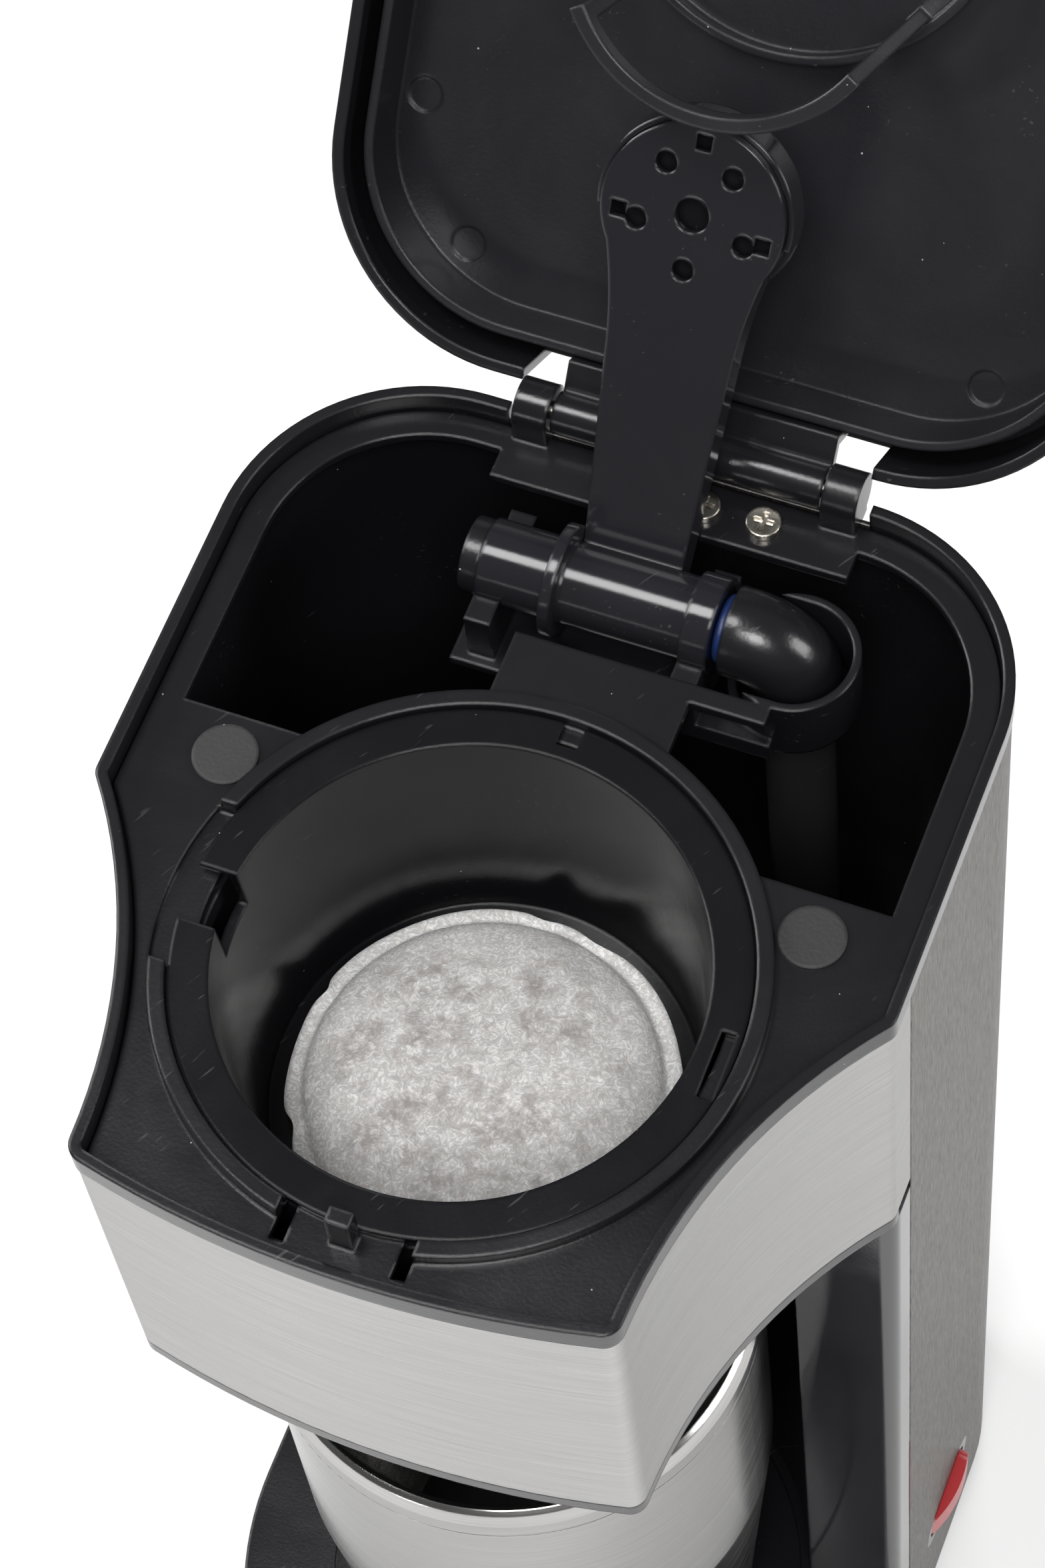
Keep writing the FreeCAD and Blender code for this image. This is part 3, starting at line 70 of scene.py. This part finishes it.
# Coffee pad: metres and radians, and shares of its height or radius
PAD_RADIUS = 0.0336
PAD_CROWN_RADIUS = 0.0302
PAD_LOW = 0.2841
PAD_HEIGHT = 0.0136
PAD_RINGS = 128
PAD_TURNS = 320
PAD_SEAM_SHARE = 0.22
PAD_TOP_SHARE = 0.72
PAD_BELLY_SHARE = 0.20
PAD_ROUNDNESS = 0.55
PAD_BELLY_FLATNESS = 3.0
PAD_PAPER_ABOVE = 0.0005
PAD_PAPER_BELOW = 0.0004
PAD_EDGE_SHARE = 0.01
# Each lump wave: waves round, half waves outwards, phase
PAD_LUMPS = ((2, 1, 0.4), (3, 2, 1.7), (5, 3, 2.6), (8, 4, 0.9))
PAD_LUMP_HEIGHT = 0.0007
PAD_SLOW_WAVES = 3
PAD_SLOW_PHASE = 0.6
PAD_SLOW_HEIGHT = 0.0005
PAD_FOLDS = 46
PAD_FOLD_DRIFT = 0.8
PAD_FOLD_FADE = 1.1
PAD_CRIMP_ABOVE = 0.0004
PAD_CRIMP_BELOW = 0.0003
# Each kink of the border: angle, width
PAD_KINKS = ((1.30, 0.10), (1.62, 0.06), (2.9, 0.05), (3.70, 0.09), (5.20, 0.06))
PAD_KINK_LIFT = 0.0022
PAD_KINK_PULL = 0.05
PAD_RAGGED_WAVES = 7
PAD_RAGGED_PHASE = 1.0
PAD_RAGGED_SHARE = 0.006
PAD_SHRINK = 0.008
PAD_COFFEE_SPREAD = 2.2
WELD_DISTANCE = 1e-6

# Finishes: metres and strengths shared by several materials
EDGE_RADIUS = 0.0009
STEEL_EDGE_RADIUS = 0.0005
BEVEL_SAMPLES = 6
SCRATCH_AXIS = (0.36, 0.48, 0.8)
SCRATCH_STRENGTH = 0.10
RUBBER_GRAIN = 900.0
RUBBER_MOTTLE = 150.0

# Node trees: spacing of their layout, and socket types
NODE_COLUMN = 240.0
NODE_ROW = 260.0
FLOAT = "NodeSocketFloat"
VECTOR = "NodeSocketVector"


# Node helpers


def add(tree, kind, **settings):
    """Adds a node and sets its plain properties."""
    node = tree.nodes.new(kind)
    for name, value in settings.items():
        setattr(node, name, value)
    return node


def put(node, **values):
    """Sets unlinked input sockets by name, with spaces written as underscores."""
    for name, value in values.items():
        node.inputs[name.replace("_", " ")].default_value = value


def join(tree, start, out, end, into):
    """Links an output socket to an input socket."""
    tree.links.new(start.outputs[out], end.inputs[into])


def calculate(tree, operation, *sources):
    """Adds a Math node on one or two sources, each a node and its output's name."""
    node = add(tree, "ShaderNodeMath", operation=operation)
    for place, (source, out) in enumerate(sources):
        join(tree, source, out, node, place)
    return node


def noise(tree, source, out, **values):
    """Adds a noise on the coordinates of a node's output."""
    node = add(tree, "ShaderNodeTexNoise")
    put(node, **values)
    join(tree, source, out, node, "Vector")
    return node


def ramp(tree, source, out, low, high):
    """Adds a smooth step of a value, from 0 at low to 1 at high."""
    node = add(tree, "ShaderNodeMapRange", interpolation_type="SMOOTHSTEP")
    put(node, From_Min=low, From_Max=high)
    join(tree, source, out, node, "Value")
    return node


def mix_colour(tree, low, high, factor, out):
    """Mixes two fixed colours by a value."""
    node = add(tree, "ShaderNodeMix", data_type="RGBA")
    put(node, A=low, B=high)
    join(tree, factor, out, node, "Factor")
    return node


def arrange(tree):
    """Lays out a node tree in columns, by each node's number of links to the output."""
    depth = {node.name: 0 for node in tree.nodes}
    for _ in tree.nodes:
        for link in tree.links:
            depth[link.from_node.name] = max(depth[link.from_node.name], depth[link.to_node.name] + 1)
    rows = {}
    for node in tree.nodes:
        column = depth[node.name]
        node.location = (-NODE_COLUMN * column, -NODE_ROW * rows.get(column, 0))
        rows[column] = rows.get(column, 0) + 1


# Surface effects that several materials share


def new_group(name, inputs, outputs):
    """Makes a shader group with (name, socket type, default) inputs and (name, socket type) outputs."""
    tree = bpy.data.node_groups.new(name, "ShaderNodeTree")
    for label, kind, default in inputs:
        socket = tree.interface.new_socket(label, in_out="INPUT", socket_type=kind)
        if default is not None:
            socket.default_value = default
    for label, kind in outputs:
        tree.interface.new_socket(label, in_out="OUTPUT", socket_type=kind)
    return tree, add(tree, "NodeGroupInput"), add(tree, "NodeGroupOutput")


def stretch_coordinates(tree, source, start):
    """Multiplies a node's coordinates by the group's Stretch input."""
    node = add(tree, "ShaderNodeVectorMath", operation="MULTIPLY")
    join(tree, source, "Vector", node, 0)
    join(tree, start, "Stretch", node, 1)
    return node


def make_brush_group():
    """Brushed metal: noise stretched along one axis, fine and coarse, as streak values."""
    tree, start, end = new_group(
        "Brushed streaks",
        [("Vector", VECTOR, None), ("Stretch", VECTOR, (1.0, 1.0, 1.0))],
        [("Streak", FLOAT), ("Coarse", FLOAT)],
    )
    stretched = stretch_coordinates(tree, start, start)
    fine = noise(tree, stretched, "Vector", Scale=1.0, Detail=6.0, Roughness=0.7)
    coarse = noise(tree, stretched, "Vector", Scale=0.22, Detail=3.0, Roughness=0.6)
    join(tree, fine, "Fac", end, "Streak")
    join(tree, coarse, "Fac", end, "Coarse")
    return tree


def make_speck_group():
    """Dust: small round flecks of random size, in the few cells whose random number is low."""
    tree, start, end = new_group(
        "Dust specks",
        [("Vector", VECTOR, None), ("Scale", FLOAT, 400.0), ("Amount", FLOAT, 0.1), ("Size", FLOAT, 0.07)],
        [("Mask", FLOAT)],
    )
    cells = add(tree, "ShaderNodeTexVoronoi")
    join(tree, start, "Vector", cells, "Vector")
    join(tree, start, "Scale", cells, "Scale")
    chance = add(tree, "ShaderNodeSeparateColor")
    join(tree, cells, "Color", chance, "Color")
    few = calculate(tree, "LESS_THAN", (chance, "Red"), (start, "Amount"))
    size = calculate(tree, "MULTIPLY", (chance, "Green"), (start, "Size"))
    near = calculate(tree, "LESS_THAN", (cells, "Distance"), (size, "Value"))
    fleck = calculate(tree, "MULTIPLY", (few, "Value"), (near, "Value"))
    join(tree, fleck, "Value", end, "Mask")
    return tree


def make_scratch_group():
    """Hairline scratches: peaks of a noise drawn out along a slanting line, broken up by a second noise."""
    tree, start, end = new_group(
        "Hairline scratches",
        [("Vector", VECTOR, None), ("Stretch", VECTOR, (1400.0, 26.0, 1400.0)), ("Slant", FLOAT, 0.6)],
        [("Mask", FLOAT)],
    )
    slanted = add(tree, "ShaderNodeVectorRotate")
    put(slanted, Axis=SCRATCH_AXIS)
    join(tree, start, "Vector", slanted, "Vector")
    join(tree, start, "Slant", slanted, "Angle")
    stretched = stretch_coordinates(tree, slanted, start)
    lines = noise(tree, stretched, "Vector", Scale=1.0, Detail=1.0, Roughness=0.4)
    thin = ramp(tree, lines, "Fac", low=0.70, high=0.78)
    breaks = noise(tree, start, "Vector", Scale=70.0, Detail=2.0)
    kept = ramp(tree, breaks, "Fac", low=0.5, high=0.64)
    scratch = calculate(tree, "MULTIPLY", (thin, "Result"), (kept, "Result"))
    join(tree, scratch, "Value", end, "Mask")
    return tree


def make_wear_group():
    """Handling marks: soft blotches that change how dull a surface is."""
    tree, start, end = new_group(
        "Handling marks",
        [("Vector", VECTOR, None), ("Scale", FLOAT, 35.0), ("Low", FLOAT, 0.3), ("High", FLOAT, 0.45)],
        [("Roughness", FLOAT)],
    )
    cloud = noise(tree, start, "Vector", Detail=5.0, Roughness=0.6, Distortion=0.6)
    join(tree, start, "Scale", cloud, "Scale")
    spread = add(tree, "ShaderNodeMapRange")
    put(spread, From_Min=0.3, From_Max=0.7)
    join(tree, cloud, "Fac", spread, "Value")
    join(tree, start, "Low", spread, "To Min")
    join(tree, start, "High", spread, "To Max")
    join(tree, spread, "Result", end, "Roughness")
    return tree


def make_grain_group():
    """Moulded grain: fine pebbled height as a normal, over edges that catch light as if rounded."""
    tree, start, end = new_group(
        "Moulded grain",
        [
            ("Vector", VECTOR, None),
            ("Scale", FLOAT, 1500.0),
            ("Strength", FLOAT, 0.1),
            ("Edge", FLOAT, EDGE_RADIUS),
        ],
        [("Normal", VECTOR)],
    )
    edge = add(tree, "ShaderNodeBevel", samples=BEVEL_SAMPLES)
    join(tree, start, "Edge", edge, "Radius")
    grain = noise(tree, start, "Vector", Detail=2.0, Roughness=0.5)
    join(tree, start, "Scale", grain, "Scale")
    relief = add(tree, "ShaderNodeBump")
    put(relief, Distance=0.0004)
    join(tree, start, "Strength", relief, "Strength")
    join(tree, grain, "Fac", relief, "Height")
    join(tree, edge, "Normal", relief, "Normal")
    join(tree, relief, "Normal", end, "Normal")
    return tree


BRUSH = make_brush_group()
SPECKS = make_speck_group()
SCRATCHES = make_scratch_group()
WEAR = make_wear_group()
GRAIN = make_grain_group()


# Materials


def rgb(red, green, blue):
    """Gives an opaque linear colour."""
    return (red, green, blue, 1.0)


def grey(value):
    """Gives an opaque neutral colour."""
    return rgb(value, value, value)


def new_material(name):
    """Makes a node material and gives it, its tree, its Principled node and its coordinates."""
    material = bpy.data.materials.new(name)
    material.use_nodes = True
    tree = material.node_tree
    return material, tree, tree.nodes["Principled BSDF"], add(tree, "ShaderNodeTexCoord")


def use(tree, group, coords, **values):
    """Adds a group on the Object coordinates."""
    node = add(tree, "ShaderNodeGroup", node_tree=group)
    join(tree, coords, "Object", node, "Vector")
    put(node, **values)
    return node


DUST_COLOUR = grey(0.30)
ROCKER_COLOUR = rgb(0.42, 0.035, 0.04)
ROCKER_SCRATCHED = rgb(0.62, 0.22, 0.22)
ROCKER_LAMP = rgb(0.8, 0.03, 0.03)
PAPER_HOLLOW = rgb(0.52, 0.505, 0.495)
PAPER_FIBRE = rgb(0.84, 0.83, 0.82)
COFFEE_COLOUR = rgb(0.28, 0.256, 0.246)

MOULDINGS = {
    "black_moulding": dict(colour=rgb(0.009, 0.009, 0.0105), low=0.16, high=0.28, grain=0.06),
    "lid_black": dict(
        colour=rgb(0.011, 0.011, 0.0138), low=0.24, high=0.36, grain=0.08, dust=0.3, cells=360.0,
    ),
    "gloss_black": dict(colour=rgb(0.013, 0.013, 0.0158), low=0.06, high=0.14, grain=0.015),
    "basket_black": dict(
        colour=rgb(0.006, 0.006, 0.007), low=0.14, high=0.26, grain=0.04, dust=0.12, specular=0.28,
    ),
    "plug_grey": dict(colour=grey(0.018), low=0.5, high=0.62, grain=0.15),
}
STEELS = {
    "brushed_band": dict(
        dark=rgb(0.47, 0.465, 0.455), light=rgb(0.60, 0.595, 0.585), stretch=(40.0, 40.0, 5600.0),
        low=0.26, high=0.34, bump=0.04, glance=0.6,
    ),
    # brushed_wrap: its dark and light colours sit well below the band's as painted shade, for the dimmer
    # surroundings that its side reflects; the streaks between the two colours are its brushing.
    "brushed_wrap": dict(
        dark=rgb(0.22, 0.21, 0.20), light=rgb(0.42, 0.40, 0.385), stretch=(3600.0, 3600.0, 260.0),
        low=0.30, high=0.44, bump=0.05, glance=0.45,
    ),
    "satin_steel": dict(
        dark=rgb(0.44, 0.435, 0.425), light=rgb(0.53, 0.525, 0.515), stretch=(40.0, 40.0, 3200.0),
        low=0.14, high=0.22, bump=0.015, glance=0.6,
    ),
    "screw_steel": dict(
        dark=rgb(0.5, 0.46, 0.4), light=rgb(0.7, 0.66, 0.58), stretch=(900.0, 900.0, 900.0),
        low=0.2, high=0.35, bump=0.05, glance=1.0,
    ),
    "heater_alloy": dict(
        dark=grey(0.5), light=grey(0.62), stretch=(500.0, 500.0, 500.0),
        low=0.4, high=0.55, bump=0.2, glance=1.0,
    ),
}
RUBBERS = {
    "silicone_tube": dict(colour=grey(0.5), pale=grey(0.62), roughness=0.4),
    "valve_white": dict(colour=grey(0.68), pale=grey(0.76), roughness=0.45),
    "blue_seal": dict(colour=rgb(0.008, 0.02, 0.09), pale=rgb(0.012, 0.035, 0.14), roughness=0.4),
    "foot_rubber": dict(colour=grey(0.012), pale=grey(0.02), roughness=0.8),
}


def moulding(name, colour, low, high, grain, dust=0.10, specular=0.45, cells=420.0):
    """Moulded plastic, low to high in roughness, with grain, handling marks, scratches and dust."""
    material, tree, shader, coords = new_material(name)
    put(shader, Specular_IOR_Level=specular)
    wear = use(tree, WEAR, coords, Low=low, High=high)
    grains = use(tree, GRAIN, coords, Strength=grain)
    specks = use(tree, SPECKS, coords, Scale=cells, Amount=dust)
    scratches = use(tree, SCRATCHES, coords)
    faint = calculate(tree, "MULTIPLY", (scratches, "Mask"))
    faint.inputs[1].default_value = SCRATCH_STRENGTH
    marks = calculate(tree, "MAXIMUM", (specks, "Mask"), (faint, "Value"))
    paint = mix_colour(tree, colour, DUST_COLOUR, marks, "Value")
    join(tree, paint, "Result", shader, "Base Color")
    join(tree, wear, "Roughness", shader, "Roughness")
    join(tree, grains, "Normal", shader, "Normal")
    return material


def steel(name, dark, light, stretch, low, high, bump, glance):
    """Brushed, satin or plain metal: streaks move the colour, the roughness and the normal."""
    material, tree, shader, coords = new_material(name)
    put(shader, Metallic=1.0, Specular_Tint=grey(glance))
    streaks = use(tree, BRUSH, coords, Stretch=stretch)
    contrast = ramp(tree, streaks, "Streak", low=0.32, high=0.68)
    paint = mix_colour(tree, dark, light, contrast, "Result")
    join(tree, paint, "Result", shader, "Base Color")
    rough = add(tree, "ShaderNodeMapRange")
    put(rough, From_Min=0.3, From_Max=0.7, To_Min=low, To_Max=high)
    join(tree, streaks, "Coarse", rough, "Value")
    join(tree, rough, "Result", shader, "Roughness")
    edge = add(tree, "ShaderNodeBevel", samples=BEVEL_SAMPLES)
    put(edge, Radius=STEEL_EDGE_RADIUS)
    relief = add(tree, "ShaderNodeBump")
    put(relief, Strength=bump, Distance=0.0002)
    join(tree, edge, "Normal", relief, "Normal")
    join(tree, streaks, "Streak", relief, "Height")
    join(tree, relief, "Normal", shader, "Normal")
    return material


def rubbery(name, colour, pale, roughness):
    """Rubber, silicone or white plastic: one roughness, a faint mottle and a fine grain."""
    material, tree, shader, coords = new_material(name)
    put(shader, Roughness=roughness)
    mottle = noise(tree, coords, "Object", Scale=RUBBER_MOTTLE, Detail=4.0)
    paint = mix_colour(tree, colour, pale, mottle, "Fac")
    join(tree, paint, "Result", shader, "Base Color")
    grains = use(tree, GRAIN, coords, Scale=RUBBER_GRAIN, Strength=0.15)
    join(tree, grains, "Normal", shader, "Normal")
    return material


def rocker_red():
    """Lit red rocker: clear red plastic with a soft glow inside and fine scratches."""
    material, tree, shader, coords = new_material("red_rocker")
    put(shader, Roughness=0.3, Transmission_Weight=0.2, Emission_Color=ROCKER_LAMP, Emission_Strength=0.05)
    scratches = use(tree, SCRATCHES, coords)
    paint = mix_colour(tree, ROCKER_COLOUR, ROCKER_SCRATCHED, scratches, "Mask")
    join(tree, paint, "Result", shader, "Base Color")
    return material


def pad_paper():
    """Filter paper over ground coffee: pale tangled fibres over blotches that fade at the border."""
    material, tree, shader, coords = new_material("pad_paper")
    put(shader, Roughness=0.92, Subsurface_Weight=0.08, Subsurface_Scale=0.002)
    fibres = noise(tree, coords, "Object", Scale=520.0, Detail=5.0, Roughness=0.7, Distortion=3.2)
    strands = ramp(tree, fibres, "Fac", low=0.42, high=0.66)
    paper = mix_colour(tree, PAPER_HOLLOW, PAPER_FIBRE, strands, "Result")
    grounds = noise(tree, coords, "Object", Scale=330.0, Detail=6.0, Roughness=0.75)
    dark = ramp(tree, grounds, "Fac", low=0.34, high=0.62)
    clumps = noise(tree, coords, "Object", Scale=95.0, Detail=6.0, Roughness=0.66, Distortion=0.8)
    patches = ramp(tree, clumps, "Fac", low=0.22, high=0.74)
    seen = calculate(tree, "MULTIPLY", (patches, "Result"), (dark, "Result"))
    cover = add(tree, "ShaderNodeAttribute", attribute_name="coffee")
    under = calculate(tree, "MULTIPLY", (seen, "Value"), (cover, "Fac"))
    stained = add(tree, "ShaderNodeMix", data_type="RGBA")
    put(stained, B=COFFEE_COLOUR)
    join(tree, under, "Value", stained, "Factor")
    join(tree, paper, "Result", stained, "A")
    join(tree, stained, "Result", shader, "Base Color")
    relief = add(tree, "ShaderNodeBump")
    put(relief, Strength=0.45, Distance=0.0006)
    join(tree, fibres, "Fac", relief, "Height")
    join(tree, relief, "Normal", shader, "Normal")
    return material


MATERIALS = {name: moulding(name, **look) for name, look in MOULDINGS.items()}
MATERIALS.update((name, steel(name, **look)) for name, look in STEELS.items())
MATERIALS.update((name, rubbery(name, **look)) for name, look in RUBBERS.items())
MATERIALS["pad_paper"] = pad_paper()
MATERIALS["red_rocker"] = rocker_red()

for group in (BRUSH, SPECKS, SCRATCHES, WEAR, GRAIN):
    arrange(group)
for material in MATERIALS.values():
    arrange(material.node_tree)

SLOT_OF = {item["node"]: item["material_slot"] for item in frame["record"]["subparts"]}
for name, piece in frame["nodes"].items():
    for slot in piece.material_slots:
        slot.material = MATERIALS[SLOT_OF[name]]


# Coffee pad


def mesh_object(name, points, faces, smooth=True):
    """Makes a mesh object from arrays of corners and faces."""
    mesh = bpy.data.meshes.new(name)
    mesh.from_pydata(np.asarray(points).tolist(), [], np.asarray(faces).tolist())
    mesh.polygons.foreach_set("use_smooth", np.full(len(mesh.polygons), smooth))
    mesh.update()
    piece = bpy.data.objects.new(name, mesh)
    bpy.context.scene.collection.objects.link(piece)
    return piece


def keep_fold_sharp(mesh, on_fold):
    """Marks as sharp the edges between points of a fold, given a mask of the mesh's points."""
    ends = np.empty(2 * len(mesh.edges), dtype=np.int32)
    mesh.edges.foreach_get("vertices", ends)
    mesh.edges.foreach_set("use_edge_sharp", on_fold[ends].reshape(-1, 2).all(axis=1))


def weld(mesh):
    """Merges points that lie on each other, such as a ring drawn in to a pole."""
    work = bmesh.new()
    work.from_mesh(mesh)
    bmesh.ops.remove_doubles(work, verts=work.verts, dist=WELD_DISTANCE)
    work.to_mesh(mesh)
    work.free()


def make_pad():
    """Round coffee pad, as a closed surface over (s, t).

    t runs round the pad and s from the underside's middle (0) over the crimped edge (0.5) to the
    crown (1), so the radius is r = R (1 - |2s - 1|). With u = 1 - (r/c)^2 inside the crown radius
    c, the top rises over the seam as u^roundness, plus low lumps: cosine waves times (r/c)^2 u,
    which vanish at the middle and at c. The underside is a flat belly that comes up to the seam
    near c. The border outside c has shallow cos(n t) crimps, one slow wave, a ragged outline and a
    few kinks, each a bell curve in t that lifts the border and pulls it in.
    """
    s = np.linspace(0.0, 1.0, PAD_RINGS)[:, None]
    t = np.linspace(0.0, 2 * math.pi, PAD_TURNS, endpoint=False)[None, :]
    from_edge = np.abs(2 * s - 1.0)
    radius = PAD_RADIUS * (1.0 - from_edge) * np.ones_like(t)
    share = radius / PAD_CROWN_RADIUS
    inside = np.clip(1.0 - share**2, 0.0, 1.0)
    border = np.clip((radius - PAD_CROWN_RADIUS) / (PAD_RADIUS - PAD_CROWN_RADIUS), 0.0, 1.0)
    drift = PAD_FOLD_DRIFT * np.sin(PAD_SLOW_WAVES * t)
    crimps = np.cos(PAD_FOLDS * t + drift) * border * (PAD_FOLD_FADE - border)
    kinks = border * sum(np.exp(-(((t - angle) / width) ** 2)) for angle, width in PAD_KINKS)
    lumps = share**2 * inside * sum(
        np.cos(around * t + phase) * np.cos(outwards * math.pi * share + phase)
        for around, outwards, phase in PAD_LUMPS
    )
    seam = PAD_LOW + PAD_SEAM_SHARE * PAD_HEIGHT
    slow = PAD_SLOW_HEIGHT * np.sin(PAD_SLOW_WAVES * t + PAD_SLOW_PHASE) * border
    crown = PAD_TOP_SHARE * PAD_HEIGHT * inside**PAD_ROUNDNESS + PAD_LUMP_HEIGHT * lumps
    belly = PAD_BELLY_SHARE * PAD_HEIGHT * np.clip(inside * PAD_BELLY_FLATNESS, 0.0, 1.0)
    upper = seam + PAD_PAPER_ABOVE + crown + PAD_CRIMP_ABOVE * crimps
    lower = seam - PAD_PAPER_BELOW - belly + PAD_CRIMP_BELOW * crimps
    height = np.where(from_edge < PAD_EDGE_SHARE, seam, np.where(s > 0.5, upper, lower))
    height = height + slow + PAD_KINK_LIFT * kinks
    ragged = PAD_RAGGED_SHARE * np.sin(PAD_RAGGED_WAVES * t + PAD_RAGGED_PHASE)
    reach = radius * (1.0 + border * (ragged - PAD_KINK_PULL * kinks - PAD_SHRINK))
    points = np.stack([reach * np.cos(t), reach * np.sin(t), height], axis=-1).reshape(-1, 3)
    ring = np.arange(PAD_RINGS - 1)[:, None] * PAD_TURNS
    step = np.arange(PAD_TURNS)[None, :]
    after = (step + 1) % PAD_TURNS
    corners = [ring + step, ring + after, ring + PAD_TURNS + after, ring + PAD_TURNS + step]
    pad = mesh_object("coffee_pad", points, np.stack(corners, axis=-1).reshape(-1, 4))
    coffee = pad.data.attributes.new("coffee", "FLOAT", "POINT")
    shown = np.clip(inside * PAD_COFFEE_SPREAD, 0.0, 1.0)
    coffee.data.foreach_set("value", shown.astype(np.float32).ravel())
    keep_fold_sharp(pad.data, np.repeat(from_edge < PAD_EDGE_SHARE, PAD_TURNS))
    weld(pad.data)
    pad.data.materials.append(MATERIALS["pad_paper"])
    return pad


pad = make_pad()
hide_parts("filter_pad")
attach(pad, "pad")


# Stage


def make_floor():
    """Plain pale floor."""
    half = FLOOR_SIZE / 2
    corners = [(-half, -half, 0.0), (half, -half, 0.0), (half, half, 0.0), (-half, half, 0.0)]
    floor = mesh_object("floor", corners, [(0, 1, 2, 3)], smooth=False)
    material, _, shader, _ = new_material("floor_pale")
    put(shader, Base_Color=grey(FLOOR_TONE), Roughness=0.9, Emission_Color=grey(1.0))
    put(shader, Emission_Strength=FLOOR_GLOW)
    floor.data.materials.append(material)
    return floor


def make_light(name, place, target, size, power):
    """Adds a soft square light aimed at a point."""
    lamp = bpy.data.lights.new(name, "AREA")
    lamp.size = size
    lamp.energy = power
    light = bpy.data.objects.new(name, lamp)
    light.location = place
    light.rotation_euler = (Vector(target) - Vector(place)).to_track_quat("-Z", "Y").to_euler()
    bpy.context.scene.collection.objects.link(light)


def make_camera():
    """Camera at the photograph's place: right and up turned by the roll about the view line."""
    azimuth, elevation, roll = (math.radians(a) for a in (CAMERA_AZIMUTH, CAMERA_ELEVATION, CAMERA_ROLL))
    back = Vector((
        math.sin(azimuth) * math.cos(elevation),
        -math.cos(azimuth) * math.cos(elevation),
        math.sin(elevation),
    ))
    right = Vector((math.cos(azimuth), math.sin(azimuth), 0.0))
    up = back.cross(right)
    turned_right = math.cos(roll) * right + math.sin(roll) * up
    turned_up = -math.sin(roll) * right + math.cos(roll) * up
    lens = bpy.data.cameras.new("camera")
    lens.lens = CAMERA_LENS
    lens.sensor_width = SENSOR
    lens.clip_start = CAMERA_CLIP
    camera = bpy.data.objects.new("camera", lens)
    axes = Matrix((turned_right, turned_up, back)).transposed()
    camera.matrix_world = Matrix.Translation(CAMERA_TARGET + CAMERA_DISTANCE * back) @ axes.to_4x4()
    bpy.context.scene.collection.objects.link(camera)
    bpy.context.scene.camera = camera


def make_world():
    """Pale even surroundings."""
    world = bpy.data.worlds.new("studio")
    world.use_nodes = True
    put(world.node_tree.nodes["Background"], Color=grey(WORLD_TONE), Strength=WORLD_STRENGTH)
    bpy.context.scene.world = world


make_world()
make_camera()
make_floor()
for name, light in LIGHTS.items():
    make_light(name, **light)

bpy.context.scene.view_settings.view_transform = "Standard"
